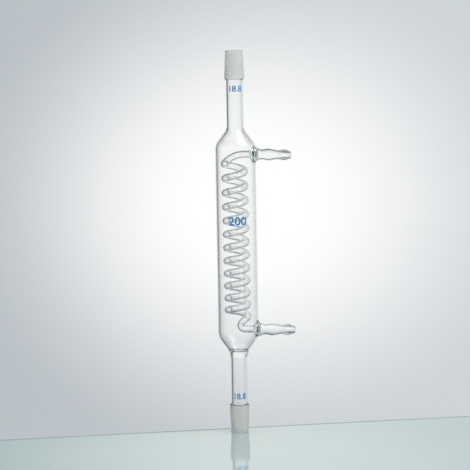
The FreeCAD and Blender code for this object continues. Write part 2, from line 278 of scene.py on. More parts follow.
@dataclass(frozen=True)
class GroundFinish:
    """Glass ground with fine abrasive: an even, fine-grained frost over faint grinding rings."""

    name: str
    slot: str
    tone: Colour
    shade: Colour
    mottling: float = 0.4
    roughness: float = 0.40
    roughness_spread: float = 0.10
    transmission: float = 0.5
    ior: float = 1.47
    grain_scale: float = 2600.0
    cloud_scale: float = 90.0
    ring_scale: float = 220.0
    ring_share: float = 0.6
    ring_stretch: tuple[float, float, float] = (1.0, 1.0, 9.0)
    relief: float = 0.35
    relief_depth: float = 0.00012

    def material(self) -> bpy.types.Material:
        """The material."""
        made, nodes = blank_material(self.name)
        place = nodes.place()
        grain = nodes.noise(place, self.grain_scale, 3.0)
        cloud = nodes.noise(place, self.cloud_scale)
        rings = nodes.noise(nodes.vector("MULTIPLY", place, self.ring_stretch), self.ring_scale)
        mottle = ((cloud + rings) * self.mottling).clamped()
        height = grain + rings * self.ring_share
        nodes.surface({
            "Base Color": nodes.mix(mottle, self.tone, self.shade),
            "Roughness": cloud * self.roughness_spread + self.roughness,
            "IOR": self.ior,
            "Transmission Weight": self.transmission,
            "Normal": nodes.relief(self.relief, self.relief_depth, height),
        })
        return made


@dataclass(frozen=True)
class FusedFinish:
    """The face where two pieces are sealed together by heat: light goes straight through it."""

    name: str = "fused_face"

    def material(self) -> bpy.types.Material:
        """The material."""
        made, nodes = blank_material(self.name)
        nodes.surface({
            "Base Color": (1.0, 1.0, 1.0),
            "Roughness": 0.0,
            "IOR": 1.0,
            "Transmission Weight": 1.0,
            "Alpha": 0.0,
        })
        return made


@dataclass(frozen=True)
class EnamelFinish:
    """Enamel printed on glass and fired: a thin, slightly uneven film."""

    name: str
    deep: Colour
    pale: Colour
    patch_scale: float = 700.0
    patch_range: Range = (0.35, 0.75)
    roughness: float = 0.3
    roughness_spread: float = 0.2
    relief: float = 0.2
    relief_depth: float = 0.00005

    def material(self) -> bpy.types.Material:
        """The material."""
        made, nodes = blank_material(self.name)
        patch = nodes.noise(nodes.place(), self.patch_scale, 3.0)
        nodes.surface({
            "Base Color": nodes.mix(patch.between(*self.patch_range), self.deep, self.pale),
            "Roughness": patch * self.roughness_spread + self.roughness,
            "Normal": nodes.relief(self.relief, self.relief_depth, patch),
        })
        return made


class Finish(Enum):
    """The finishes of the condenser."""

    # Each glass finish's second colour is its edge colour: partly its own deeper tint, partly
    # painted shade for its outlines.
    CLEAR = GlassFinish(
        "drawn_clear", "clear_glass", (0.994, 0.997, 0.995), (0.50, 0.54, 0.52), 7.0)
    THIN = GlassFinish(
        "blown_thin", "clear_glass", (0.996, 0.998, 0.997), (0.80, 0.83, 0.815), 7.0)
    COIL = GlassFinish(
        "wound_coil", "coil_glass", (0.990, 0.996, 0.993), (0.36, 0.42, 0.40), 5.0)
    SEAL = GlassFinish(
        "green_seal", "seal_glass", (0.93, 0.97, 0.95), (0.50, 0.62, 0.57), 4.0, ripple=0.08)
    GROUND = GroundFinish(
        "ground_frost", "ground_glass", (0.985, 0.985, 0.955), (0.93, 0.94, 0.90))
    FUSED = FusedFinish()
    ENAMEL = EnamelFinish("blue_enamel", (0.01, 0.20, 0.52), (0.04, 0.36, 0.70))

    def dress(self, mesh: bpy.types.Mesh) -> None:
        """Gives a mesh this finish as its next material, which is made once."""
        if self.name not in MATERIALS:
            MATERIALS[self.name] = self.value.material()
        mesh.materials.append(MATERIALS[self.name])


# ---- surfaces


class Layer(IntEnum):
    """What a band of a piece's surface is."""

    MAIN = 0
    FUSED = 1
    GROUND = 2


def full_turn(count: int) -> np.ndarray:
    """The angles of a full turn in even steps, without its end."""
    return np.arange(count) * (2 * math.pi / count)


def circle(radius: Any, turn: Any, height: Any) -> np.ndarray:
    """The points (radius cos turn, radius sin turn, height). Each is a number or an array."""
    parts = radius * np.cos(turn), radius * np.sin(turn), height
    return np.stack(np.broadcast_arrays(*parts), axis=-1)


def spaced(
    start: np.ndarray, end: np.ndarray, reach: float = 4.0, edge: float = 0.2,
) -> np.ndarray:
    """Points of a straight run: its start and even steps, with one more point close to each
    end so that smooth shading stays flat along the run.

    Args:
        start: where the run begins.
        end: where the run ends. It isn't among the points.
        reach: the longest step.
        edge: the distance of the extra points from the ends.

    Returns:
        The points as rows, without the end.
    """
    length = float(np.linalg.norm(end - start))
    if length < NEAR:
        return np.empty((0, len(start)))
    share = np.array([0.0])
    if length >= 4 * edge:
        steps = max(2, math.ceil(length / reach))
        share = np.append(share, np.linspace(edge / length, 1 - edge / length, steps + 1))
    return start + share[:, None] * (end - start)


def rounded(
    before: np.ndarray, corner: np.ndarray, after: np.ndarray, radius: float, step: float,
) -> np.ndarray:
    """Points of the arc that rounds a corner: the circle that touches both sides, from the one
    tangent point to the other. The point at a share s of the turn is centre + cos(s turn) first
    + sin(s turn) second, with first and second at right angles in the corner's plane.

    Args:
        before: a point on the side that arrives.
        corner: the sharp corner.
        after: a point on the side that leaves.
        radius: the arc's radius, or 0 for a sharp corner.
        step: the most degrees from point to point.

    Returns:
        The points as rows.
    """
    if radius <= 0:
        return corner[None, :]
    back = (before - corner) / np.linalg.norm(before - corner)
    ahead = (after - corner) / np.linalg.norm(after - corner)
    half = math.acos(float(np.clip(back @ ahead, -1.0, 1.0))) / 2
    turn = math.pi - 2 * half
    if turn < STRAIGHT:
        return corner[None, :]
    start = corner + back * (radius / math.tan(half))
    centre = corner + (back + ahead) / np.linalg.norm(back + ahead) * (radius / math.sin(half))
    first = start - centre
    second = -back * radius
    share = np.linspace(0.0, turn, max(2, math.ceil(math.degrees(turn) / step)) + 1)[:, None]
    return centre + np.cos(share) * first + np.sin(share) * second


def outline(
    corners: Sequence[Corner], joints: Sequence[float], ground: Sequence[int] = (),
) -> tuple[np.ndarray, np.ndarray]:
    """A closed outline with rounded corners.

    Args:
        corners: (radius, height) or (radius, height, round), anticlockwise, so that the glass
            is on the left.
        joints: heights at which a level side is fused to a neighbour.
        ground: the sides that are ground, by the number of the corner that they leave.

    Returns:
        The points, and for each the layer of the side that leaves it.
    """
    sharp = np.array([corner[:2] for corner in corners], float)
    rounds = [corner[2] if len(corner) > 2 else 0.0 for corner in corners]
    count = len(corners)
    bends = [
        rounded(sharp[i - 1], sharp[i], sharp[(i + 1) % count], rounds[i],
                FINE_STEP if rounds[i] > LARGE_ROUND else COARSE_STEP)
        for i in range(count)
    ]

    def layer(i: int) -> int:
        """The layer of the side that leaves a corner."""
        ends = sharp[i][1], sharp[(i + 1) % count][1]
        if any(abs(ends[0] - z) < LEVEL and abs(ends[1] - z) < LEVEL for z in joints):
            return Layer.FUSED
        return Layer.GROUND if i in ground else Layer.MAIN

    points, layers = [], []
    for i in range(count):
        run = spaced(bends[i][-1], bends[(i + 1) % count][0])
        part = np.concatenate([bends[i][:-1], run])
        mark = np.full(len(part), int(layer(i)))
        mark[:(len(bends[i]) - 1) // 2] = int(layer((i - 1) % count))
        points.append(part)
        layers.append(mark)
    return np.concatenate(points), np.concatenate(layers)


def turned(points: np.ndarray, around: int) -> np.ndarray:
    """Turns an outline about +Z: (radius cos t, radius sin t, height) for each t of a full turn.

    Args:
        points: the outline's radii and heights.
        around: how many steps the turn has.

    Returns:
        The grid of points, one row for each point of the outline.
    """
    return circle(points[:, :1], full_turn(around), points[:, 1:])


def tube(
    path: np.ndarray, outer: float, bore: float, around: int,
) -> tuple[np.ndarray, np.ndarray]:
    """A tube with a wall along a path: a circle of the outer radius carried along the path, and
    one of the bore's radius carried back. Each circle's first point is the one nearest to +Z,
    square to the path, and its second axis is the path's direction crossed with the first.

    Args:
        path: the centreline's points.
        outer: the outer radius.
        bore: the inner radius.
        around: how many points each circle has.

    Returns:
        The grid of points, and for each row the layer of the band that leaves it. The ends are
        fused.
    """
    along = np.gradient(path, axis=0)
    along /= np.linalg.norm(along, axis=1)[:, None]
    up = np.array(UP)
    first = up - along * (along @ up)[:, None]
    first /= np.linalg.norm(first, axis=1)[:, None]
    second = np.cross(along, first)
    turn = full_turn(around)[None, :, None]
    ring = np.cos(turn) * first[:, None, :] + np.sin(turn) * second[:, None, :]
    centre = path[:, None, :]
    grid = np.concatenate([centre + outer * ring, (centre + bore * ring)[::-1]])
    layers = np.zeros(len(grid), int)
    layers[[len(path) - 1, len(grid) - 1]] = Layer.FUSED
    return grid, layers


def tangent_path(route: Sequence[np.ndarray]) -> np.ndarray:
    """Straight runs joined by tangent arcs, each as large as its two runs allow.

    Args:
        route: the corners, with the path's ends first and last.

    Returns:
        The path's points.
    """
    last = len(route) - 1
    runs = [float(np.linalg.norm(after - before)) for before, after in zip(route, route[1:])]
    parts = []
    reached = route[0]
    for i in range(1, last):
        room = min(runs[i - 1] / (1 if i == 1 else 2), runs[i] / (1 if i == last - 1 else 2))
        back = (route[i - 1] - route[i]) / runs[i - 1]
        ahead = (route[i + 1] - route[i]) / runs[i]
        radius = room * math.tan(math.acos(float(back @ ahead)) / 2)
        arc = rounded(route[i - 1], route[i], route[i + 1], radius, PATH_STEP)
        parts += [spaced(reached, arc[0], PATH_REACH), arc[:-1]]
        reached = arc[-1]
    parts += [spaced(reached, route[-1], PATH_REACH), route[-1][None, :]]
    return np.concatenate(parts)


def placed(grid: np.ndarray, origin: np.ndarray, axes: np.ndarray) -> np.ndarray:
    """Moves points made about +Z into a frame of three axes, given as rows."""
    return origin + grid @ axes


# ---- pieces


def linked(name: str, data: Any) -> bpy.types.Object:
    """A new object with these data, linked into the scene."""
    made = bpy.data.objects.new(name, data)
    bpy.context.scene.collection.objects.link(made)
    return made


def mesh_object(name: str, points: np.ndarray, faces: list[list[int]]) -> bpy.types.Object:
    """A new object at the origin with its place in its mesh.

    Args:
        name: the piece's name.
        points: its corners, in millimetres.
        faces: the corner numbers of each face.

    Returns:
        The object, linked into the scene.
    """
    mesh = bpy.data.meshes.new(name)
    mesh.from_pydata((points.reshape(-1, 3) * MM).tolist(), [], faces)
    return linked(name, mesh)


def finished_mesh(piece: bpy.types.Object) -> bpy.types.Mesh:
    """A new mesh of what an object and its modifiers make."""
    bpy.context.view_layer.update()
    graph = bpy.context.evaluated_depsgraph_get()
    return bpy.data.meshes.new_from_object(piece.evaluated_get(graph))


def corners_of(mesh: bpy.types.Mesh) -> np.ndarray:
    """A mesh's corners, as rows."""
    points = np.empty(len(mesh.vertices) * 3)
    mesh.vertices.foreach_get("co", points)
    return points.reshape(-1, 3)


def closed_faces(rows: int, columns: int) -> list[list[int]]:
    """The quads of a grid that closes both ways: each joins (row, column), (row, column + 1),
    (row + 1, column + 1) and (row + 1, column)."""
    index = np.arange(rows * columns).reshape(rows, columns)
    across, down = np.roll(index, -1, axis=1), np.roll(index, -1, axis=0)
    quads = np.stack([index, across, np.roll(down, -1, axis=1), down], axis=-1)
    return quads.reshape(-1, 4).tolist()


def glass_piece(
    node: str, grid: np.ndarray, layers: np.ndarray, finish: Finish,
    cutters: Sequence[bpy.types.Object] = (),
) -> None:
    """Makes a closed surface that stands for one node and rides on the body.

    Args:
        node: the node's name.
        grid: points in millimetres, closed both ways.
        layers: for each row, the layer of the band that leaves it.
        finish: the piece's finish. A ground piece is clear except where it is ground.
        cutters: closed shapes taken out of the piece.
    """
    rows, columns = grid.shape[:2]
    piece = mesh_object(f"{node}_glass", grid, closed_faces(rows, columns))
    (Finish.CLEAR if finish is Finish.GROUND else finish).dress(piece.data)
    Finish.FUSED.dress(piece.data)
    if finish is Finish.GROUND:
        finish.dress(piece.data)
    piece.data.polygons.foreach_set("material_index", np.repeat(layers.astype(np.int32), columns))
    for cutter in cutters:
        opening = piece.modifiers.new("opening", "BOOLEAN")
        opening.operation = "DIFFERENCE"
        opening.solver = "EXACT"
        opening.object = cutter
    if cutters:
        finished = finished_mesh(piece)
        piece.modifiers.clear()
        piece.data = finished
        for cutter in cutters:
            bpy.data.objects.remove(cutter)
    piece.data.shade_smooth()
    piece.data.set_sharp_from_angle(angle=math.radians(SHARP))
    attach(piece, "root")
    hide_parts(node)
    index = np.empty(len(piece.data.polygons), np.int32)
    piece.data.polygons.foreach_get("material_index", index)
    LOG.info("%s: %d faces, by layer %s", piece.name, len(index), np.bincount(index).tolist())


def turned_piece(
    node: str, corners: Sequence[Corner], joints: Sequence[float], finish: Finish, around: int,
    ground: Sequence[int] = (), cutters: Sequence[bpy.types.Object] = (),
) -> None:
    """Turns an outline about +Z into the closed surface that stands for one node.

    Args:
        node: the node's name.
        corners: the outline's corners, as outline takes them.
        joints: heights at which the piece is fused to a neighbour.
        finish: the piece's finish.
        around: how many steps the turn has.
        ground: the sides that are ground.
        cutters: closed shapes taken out of the piece.
    """
    points, layers = outline(corners, joints, ground)
    glass_piece(node, turned(points, around), layers, finish, cutters)


def heights(node: str) -> tuple[float, float]:
    """A node's lowest and highest points, in millimetres."""
    low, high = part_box(node)
    return low.z / MM, high.z / MM


@dataclass
class GroundCones:
    """The two ground cones, each on a short stub of neck. A cone narrows 1 in 10."""

    wide_radius: float = 9.4
    ground_length: float = 26.0
    taper: float = 10.0
    wall: float = 1.6
    step: float = 1.3
    step_round: float = 1.0
    rim_round: float = 0.4
    neck_wall: float = 1.5
    around: int = 128

    def build(self, node: str, rim_below: bool, neck_radius: float) -> None:
        """Makes one cone.

        Args:
            node: the cone's node.
            rim_below: whether the narrow end is the lower one.
            neck_radius: the outer radius of the neck that it is sealed to.
        """
        low, high = heights(node)
        rim, base, way = (low, high, 1.0) if rim_below else (high, low, -1.0)
        narrow = self.wide_radius - self.ground_length / self.taper / 2
        wide, stub = rim + self.ground_length * way, rim + (self.ground_length + self.step) * way
        bore = neck_radius - self.neck_wall
        corners = [
            (narrow, rim, self.rim_round),
            (self.wide_radius, wide, self.step_round),
            (neck_radius, stub, self.step_round),
            (neck_radius, base),
            (bore, base),
            (bore, stub, self.step_round),
            (self.wide_radius - self.wall, wide, self.step_round),
            (narrow - self.wall, rim, self.rim_round),
        ]
        corners, ground = (corners, 0) if rim_below else (corners[::-1], len(corners) - 2)
        turned_piece(node, corners, [base], Finish.GROUND, self.around, [ground])


@dataclass
class Necks:
    """The plain necks and the thick seam on top of the lower one."""

    wall: float = 1.5
    lower_radius: float = 7.65
    upper_radius: float = 8.0
    seam_radius: float = 9.4
    seam_round: float = 1.2
    around: int = 128

    def build_neck(self, node: str, radius: float) -> None:
        """Makes one neck: a plain tube."""
        low, high = heights(node)
        bore = radius - self.wall
        corners = [(radius, low), (radius, high), (bore, high), (bore, low)]
        turned_piece(node, corners, [low, high], Finish.CLEAR, self.around)

    def build_seam(self, node: str, slanted_wall: float) -> None:
        """Makes the thick seam: a tube that swells under the shoulder.

        Args:
            node: the seam's node.
            slanted_wall: the shoulder's wall, across the radius.
        """
        low, high = heights(node)
        crown = high - self.seam_round
        bore = self.lower_radius - self.wall
        corners = [
            (self.lower_radius, low),
            (self.seam_radius, crown, self.seam_round),
            (self.seam_radius, high),
            (self.seam_radius - slanted_wall, high),
            (bore, crown),
            (bore, low),
        ]
        turned_piece(node, corners, [low, high], Finish.SEAL, self.around)


@dataclass
class Arm:
    """One hose arm's own frame: its axis and where that crosses the jacket's."""

    side: str
    origin: np.ndarray = field(init=False)
    axes: np.ndarray = field(init=False)

    def __post_init__(self) -> None:
        """Reads the axis from the record. The frame's third axis is the arm's, its second is
        level and its first is square to both."""
        mount = next(m for m in frame["record"]["mounts"] if m["name"] == f"{self.side}_hose")
        along = np.array(mount["axis"], float)
        along /= np.linalg.norm(along)
        tip = np.array(mount["pos_m"], float) / MM
        level = np.array([-along[1], along[0], 0.0]) / math.hypot(along[0], along[1])
        self.axes = np.stack([np.cross(level, along), level, along])
        self.origin = tip - along * (math.hypot(tip[0], tip[1]) / math.hypot(along[0], along[1]))

    def point(self, distance: float) -> np.ndarray:
        """The point of the arm's axis at a distance from the jacket's axis."""
        return self.origin + self.axes[2] * distance

    def on_cylinder(self, radius: float, turn: np.ndarray, jacket_radius: Any) -> np.ndarray:
        """How far along the arm each line of a ring parallel to it meets the jacket.

        A line starts at origin + radius (cos turn first + sin turn second). With its level
        part L and the axis's level part A, the distance d solves |L + d A| = jacket_radius.

        Args:
            radius: the lines' distance from the arm's axis.
            turn: each line's angle about the arm's axis.
            jacket_radius: the jacket's radius, or its radius for each line.

        Returns:
            The distance for each line.
        """
        level = placed(circle(radius, turn, 0.0), self.origin, self.axes)[:, :2]
        axis = self.axes[2][:2]
        a = float(axis @ axis)
        b = level @ axis
        c = (level ** 2).sum(-1) - jacket_radius ** 2
        return (-b + np.sqrt(b * b - a * c)) / a


@dataclass
class Jacket:
    """The jacket tube with its rounded ends, and the two shoulders."""

    radius: float = 19.0
    wall: float = 1.8
    lower_round: float = 16.0
    upper_round: float = 12.0
    slope: float = 1.3
    seam_radius: float = 14.5
    neck_round: float = 3.0
    hole_radius: float = 5.4
    plug_reach: tuple[float, float] = (8.0, 26.0)
    plug_around: int = 96
    around: int = 192

    @property
    def slanted_wall(self) -> float:
        """The wall of a shoulder, across the radius."""
        return self.wall * math.sqrt(1 + 1 / self.slope ** 2)

    @property
    def seam_reach(self) -> float:
        """The height between a sharp end of the jacket and its seam with the shoulder."""
        return (self.radius - self.seam_radius) * self.slope

    def radius_at(self, height: np.ndarray) -> np.ndarray:
        """The jacket's outer radius at a height: past the point where an end's rounding of
        radius R begins, it falls by R - sqrt(R^2 - beyond^2)."""
        low, high = heights("jacket_tube")
        half = math.atan(1 / self.slope) / 2
        found = np.full(height.shape, self.radius)
        for start, way, bend in (
            (low + self.seam_reach + self.lower_round * math.tan(half), -1.0, self.lower_round),
            (high - self.seam_reach - self.upper_round * math.tan(half), 1.0, self.upper_round),
        ):
            beyond = np.clip((height - start) * way, 0.0, bend * math.sin(2 * half))
            found -= bend - np.sqrt(bend ** 2 - beyond ** 2)
        return found

    def build_tube(self, arms: Sequence[Arm]) -> None:
        """Makes the jacket tube, open where the ring seals go through it."""
        low, high = heights("jacket_tube")
        base, top = low + self.seam_reach, high - self.seam_reach
        lag = (self.slanted_wall - self.wall) * self.slope
        bore = self.radius - self.wall
        corners = [
            (self.seam_radius, low),
            (self.radius, base, self.lower_round),
            (self.radius, top, self.upper_round),
            (self.seam_radius, high),
            (self.seam_radius - self.slanted_wall, high),
            (bore, top - lag, self.upper_round - self.wall),
            (bore, base + lag, self.lower_round - self.wall),
            (self.seam_radius - self.slanted_wall, low),
        ]
        turned_piece("jacket_tube", corners, [low, high], Finish.THIN, self.around,
                     cutters=[self.plug(arm) for arm in arms])

    def plug(self, arm: Arm) -> bpy.types.Object:
        """A closed rod along an arm, to take out of the jacket for its ring seal."""
        turn = full_turn(self.plug_around)
        ends = np.stack([circle(self.hole_radius, turn, reach) for reach in self.plug_reach])
        near = np.arange(self.plug_around)
        far = near + self.plug_around
        sides = np.stack([near, np.roll(near, -1), np.roll(far, -1), far], axis=-1).tolist()
        faces = [*sides, near[::-1].tolist(), far.tolist()]
        return mesh_object(f"{arm.side}_plug", placed(ends, arm.origin, arm.axes), faces)

    def build_lower_shoulder(self, neck_radius: float) -> None:
        """Makes the cone between the neck's seam and the jacket."""
        low, high = heights("lower_shoulder")
        corners = [
            (neck_radius, low),
            (self.seam_radius, high),
            (self.seam_radius - self.slanted_wall, high),
            (neck_radius - self.slanted_wall, low),
        ]
        turned_piece("lower_shoulder", corners, [low, high], Finish.CLEAR, self.around)

    def build_upper_shoulder(self, neck_radius: float, neck_bore: float) -> None:
        """Makes the cone between the jacket and the upper neck, drawn into a stub of it."""
        low, high = heights("upper_shoulder")
        top = low - self.seam_reach
        corner = top + (self.radius - neck_radius) * self.slope
        inner_corner = top + (self.radius - neck_bore - self.slanted_wall) * self.slope
        corners = [
            (self.seam_radius, low),
            (neck_radius, corner, self.neck_round),
            (neck_radius, high),
            (neck_bore, high),
            (neck_bore, inner_corner, self.neck_round + neck_radius - neck_bore),
            (self.seam_radius - self.slanted_wall, low),
        ]
        turned_piece("upper_shoulder", corners, [low, high], Finish.CLEAR, self.around)


@dataclass
class HoseArms:
    """The ring seals in the jacket's wall and the hose connectors outside it."""

    core_radius: float = 5.4
    flare_radius: float = 8.8
    flare_length: float = 2.6
    depth: float = 2.2
    collar: float = 1.0
    root_radius: float = 6.2
    root_valley_radius: float = 4.85
    bulge_radius: float = 6.0
    valley_radius: float = 4.3
    olive_radius: float = 5.1
    tip_radius: float = 3.4
    to_root_valley: float = 4.5
    to_bulge: float = 6.9
    to_valley: float = 8.6
    to_olive: float = 6.0
    to_tip: float = 6.6
    root_valley_round: float = 5.0
    bulge_round: float = 12.0
    valley_round: float = 9.0
    olive_round: float = 4.0
    tip_rounds: tuple[float, float] = (0.4, 0.3)
    tip_wall: float = 1.1
    wall: float = 1.3
    gap: float = 0.01
    around: int = 96

    def build_seal(self, arm: Arm, jacket: Jacket, coil: "CoolingCoil") -> None:
        """Makes a ring seal: a collar inside for the coil's lead, a core through the wall, and
        a flare outside. The collar and, at each angle, the flare are quarters of an ellipse,
        the flare's from the jacket's surface to the connector's root. Inside, the bore narrows
        by the share s of the way as 3 s^2 - 2 s^3.

        Args:
            arm: the seal's arm.
            jacket: the jacket that it is sealed into.
            coil: the coil whose lead it holds.
        """
        jacket_bore = jacket.radius - jacket.wall
        inner, outer = jacket_bore - self.depth, jacket.radius + self.flare_length
        turn = full_turn(self.around)
        core = self.core_radius - self.gap
        quarter = math.pi / 2

        def lying(radius: float) -> np.ndarray:
            """A circle laid on the jacket's surface, also where its end is rounded."""
            distance = arm.on_cylinder(radius, turn, jacket.radius + self.gap)
            for _ in range(4):
                height = placed(circle(radius, turn, distance), arm.origin, arm.axes)[:, 2]
                distance = arm.on_cylinder(radius, turn, jacket.radius_at(height) + self.gap)
            return circle(radius, turn, distance)

        rings = [circle(coil.bore, turn, inner), circle(coil.tube_radius, turn, inner)]
        for share in np.linspace(0.25, 1.0, 4) * quarter:
            radius = coil.tube_radius + (core - coil.tube_radius) * math.sin(share)
            rings.append(circle(radius, turn, inner + self.collar * (1 - math.cos(share))))
        low, foot = rings[-1], lying(core)
        rings += [low + (foot - low) * share for share in (0.25, 0.5, 0.75)]
        rings += [lying(radius) for radius in np.linspace(core, self.flare_radius, 5)]
        edge = rings[-1][:, 2]
        for share in np.linspace(0.0, 1.0, 12)[1:] * quarter:
            spread = (self.flare_radius - self.root_radius) * (1 - math.sin(share))
            distance = edge + (outer - edge) * (1 - math.cos(share))
            rings.append(circle(self.root_radius + spread, turn, distance))
        layers = np.zeros(len(rings) + 11, int)
        layers[[0, len(rings) - 1]] = Layer.FUSED
        root_bore = self.root_radius - self.wall
        for share in np.linspace(0.0, 1.0, 10):
            radius = root_bore + (coil.bore - root_bore) * share * share * (3 - 2 * share)
            rings.append(circle(radius, turn, outer + (jacket_bore - outer) * share))
        rings.append(circle(coil.bore, turn, (jacket_bore + inner) / 2))
        grid = placed(np.stack(rings), arm.origin, arm.axes)
        glass_piece(f"{arm.side}_ring_seal", grid, layers, Finish.SEAL)

    def build_connector(self, arm: Arm, jacket: Jacket) -> None:
        """Makes a hose connector: a root valley, a long bulge, a second valley and an olive."""
        root = jacket.radius + self.flare_length
        root_valley = root + self.to_root_valley
        bulge = root_valley + self.to_bulge
        valley = bulge + self.to_valley
        olive = valley + self.to_olive
        tip = olive + self.to_tip
        outer_tip, inner_tip = self.tip_rounds
        points, layers = outline([
            (self.root_radius - self.wall, root),
            (self.root_radius, root),
            (self.root_valley_radius, root_valley, self.root_valley_round),
            (self.bulge_radius, bulge, self.bulge_round),
            (self.valley_radius, valley, self.valley_round),
            (self.olive_radius, olive, self.olive_round),
            (self.tip_radius, tip, outer_tip),
            (self.tip_radius - self.tip_wall, tip, inner_tip),
            (self.valley_radius - self.wall, valley, self.valley_round + self.wall),
            (self.bulge_radius - self.wall, bulge, self.bulge_round - self.wall),
            (self.root_valley_radius - self.wall, root_valley, self.root_valley_round + self.wall),
        ], [root])
        grid = placed(turned(points, self.around), arm.origin, arm.axes)
        glass_piece(f"{arm.side}_hose_connector", grid, layers, Finish.THIN)


@dataclass
class CoolingCoil:
    """The coil and the two leads that join it to the ring seals."""

    radius: float = 9.3
    tube_radius: float = 3.5
    tube_wall: float = 1.1
    turns: float = 11.5
    drop: float = 9.25
    rise: float = 12.6
    pitch_ratio: float = 1.28
    offset: float = 1.2
    start: float = 193.0
    lead_entry: tuple[float, float] = (0.70, 0.45)
    upper_bend: Bend = (265.0, 0.70, 0.20)
    lower_bends: tuple[Bend, Bend] = ((-42.0, 0.98, 0.72), (-59.0, 0.56, 0.32))
    lead_sides: int = 8
    steps: int = 56
    around: int = 40
    top: float = 0.0
    bottom: float = 0.0

    @property
    def bore(self) -> float:
        """The tube's inner radius."""
        return self.tube_radius - self.tube_wall

    def around_axis(self, degrees: Any, radius: Any, height: Any) -> np.ndarray:
        """Points about the coil's axis, which leans by the offset from its foot to its top."""
        points = circle(radius, np.radians(degrees), height)
        points[..., 0] -= self.offset * (height - self.bottom) / (self.top - self.bottom)
        return points

    def height_at(self, turns: Any) -> Any:
        """The height after so many turns: the pitch falls evenly from the top to the foot."""
        last = (self.top - self.bottom) / self.turns * 2 / (1 + self.pitch_ratio)
        first = last * self.pitch_ratio
        return self.top - first * turns + (first - last) / (2 * self.turns) * turns ** 2

    def build_coil(self) -> None:
        """Makes the coil: a tube along a helix that goes down clockwise."""
        turns = np.linspace(0.0, self.turns, round(self.turns * self.steps) + 1)
        path = self.around_axis(self.start - 360 * turns, self.radius, self.height_at(turns))
        grid, layers = tube(path, self.tube_radius, self.bore, self.around)
        glass_piece("cooling_coil", grid, layers, Finish.COIL)

    def corner(self, turns: float) -> np.ndarray:
        """Where the tangents half a side before and after this turn meet."""
        reach = self.radius / math.cos(math.pi / self.lead_sides)
        return self.around_axis(self.start - 360 * turns, reach, self.height_at(turns))

    def build_leads(self, upper: Arm, lower: Arm, inner: float) -> None:
        """Makes both leads.

        Args:
            upper: the upper arm.
            lower: the lower arm.
            inner: the distance of the ring seals' inner ends from the jacket's axis.
        """
        def bend(arm: Arm, end: float, way: Bend) -> np.ndarray:
            """A bend between an arm and one end of the coil: its angle, its share of the
            coil's radius and its share of the height from the arm to the end."""
            degrees, out, share = way
            height = arm.origin[2] + (end - arm.origin[2]) * share
            return self.around_axis(degrees, self.radius * out, height)

        first, last = (
            self.around_axis(self.start - 360 * turns, self.radius, self.height_at(turns))
            for turns in (0.0, self.turns)
        )
        upper_entry, lower_entry = self.lead_entry
        half_side = 1 / (2 * self.lead_sides)
        routes = {
            "upper_coil_lead": [
                upper.point(inner),
                upper.point(self.radius * upper_entry),
                bend(upper, self.top, self.upper_bend),
                self.corner(-half_side),
                first,
            ],
            "lower_coil_lead": [
                last,
                self.corner(self.turns + half_side),
                *(bend(lower, self.bottom, way) for way in self.lower_bends),
                lower.point(self.radius * lower_entry),
                lower.point(inner),
            ],
        }
        for node, route in routes.items():
            grid, layers = tube(tangent_path(route), self.tube_radius, self.bore, self.around)
            glass_piece(node, grid, layers, Finish.COIL)


@dataclass(frozen=True)
class Number:
    """One printed number: its digits, its width and height, how far round it is turned from
    where the numbers face, in degrees, and the height of its middle."""

    name: str
    digits: str
    size: tuple[float, float]
    turn: float
    middle: float


@dataclass
class PrintedMarks:
    """Plain numbers printed in enamel: the cone's width on each neck, the length on the jacket."""

    lower: Number = Number("lower_neck_number", "18.8", size=(11.6, 5.7), turn=3.0, middle=34.6)
    upper: Number = Number("upper_neck_number", "18.8", size=(12.2, 5.7), turn=5.0, middle=323.6)
    jacket: Number = Number("jacket_number", "200", size=(17.0, 8.0), turn=0.0, middle=201.0)
    facing: float = -74.0
    film: float = 0.03
    clearance: float = 0.01
    slice_width: float = 0.6
    stroke_offset: float = 0.018

    def flat(self, number: Number) -> bpy.types.Mesh:
        """The number as a flat film about the origin, cut into upright slices so that it can
        be bent."""
        curve = bpy.data.curves.new(number.name, "FONT")
        curve.body = number.digits
        curve.align_x = "CENTER"
        curve.resolution_u = 6
        curve.extrude = 0.5
        curve.offset = self.stroke_offset
        holder = linked(number.name, curve)
        mesh = finished_mesh(holder)
        bpy.data.objects.remove(holder)
        points = corners_of(mesh)
        low, high = points.min(0), points.max(0)
        scale = np.array([*number.size, self.film]) / (high - low)
        mesh.vertices.foreach_set("co", ((points - (low + high) / 2) * scale).ravel())
        work = bmesh.new()
        work.from_mesh(mesh)
        bmesh.ops.remove_doubles(work, verts=work.verts, dist=1e-4)
        half = number.size[0] / 2
        for cut in np.arange(self.slice_width - half, half, self.slice_width):
            bmesh.ops.bisect_plane(
                work, geom=[*work.verts, *work.edges, *work.faces], dist=1e-5,
                plane_co=(float(cut), 0.0, 0.0), plane_no=(1.0, 0.0, 0.0),
            )
        bmesh.ops.triangulate(work, faces=work.faces)
        work.to_mesh(mesh)
        work.free()
        return mesh

    def build(self, number: Number, radius: float) -> None:
        """Prints one number round a tube: a point at x across the flat print goes to the angle
        x / radius, and its height stays.

        Args:
            number: the number.
            radius: the tube's outer radius.
        """
        mesh = self.flat(number)
        points = corners_of(mesh)
        turn = math.radians(self.facing + number.turn) + points[:, 0] / radius
        reach = radius + self.clearance + self.film / 2 + points[:, 2]
        bent = circle(reach, turn, number.middle + points[:, 1])
        mesh.vertices.foreach_set("co", (bent * MM).ravel())
        mesh.materials.clear()
        Finish.ENAMEL.dress(mesh)
        made = linked(number.name, mesh)
        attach(made, "root")
        LOG.info("%s: %d faces", number.name, len(mesh.polygons))


# ---- the studio


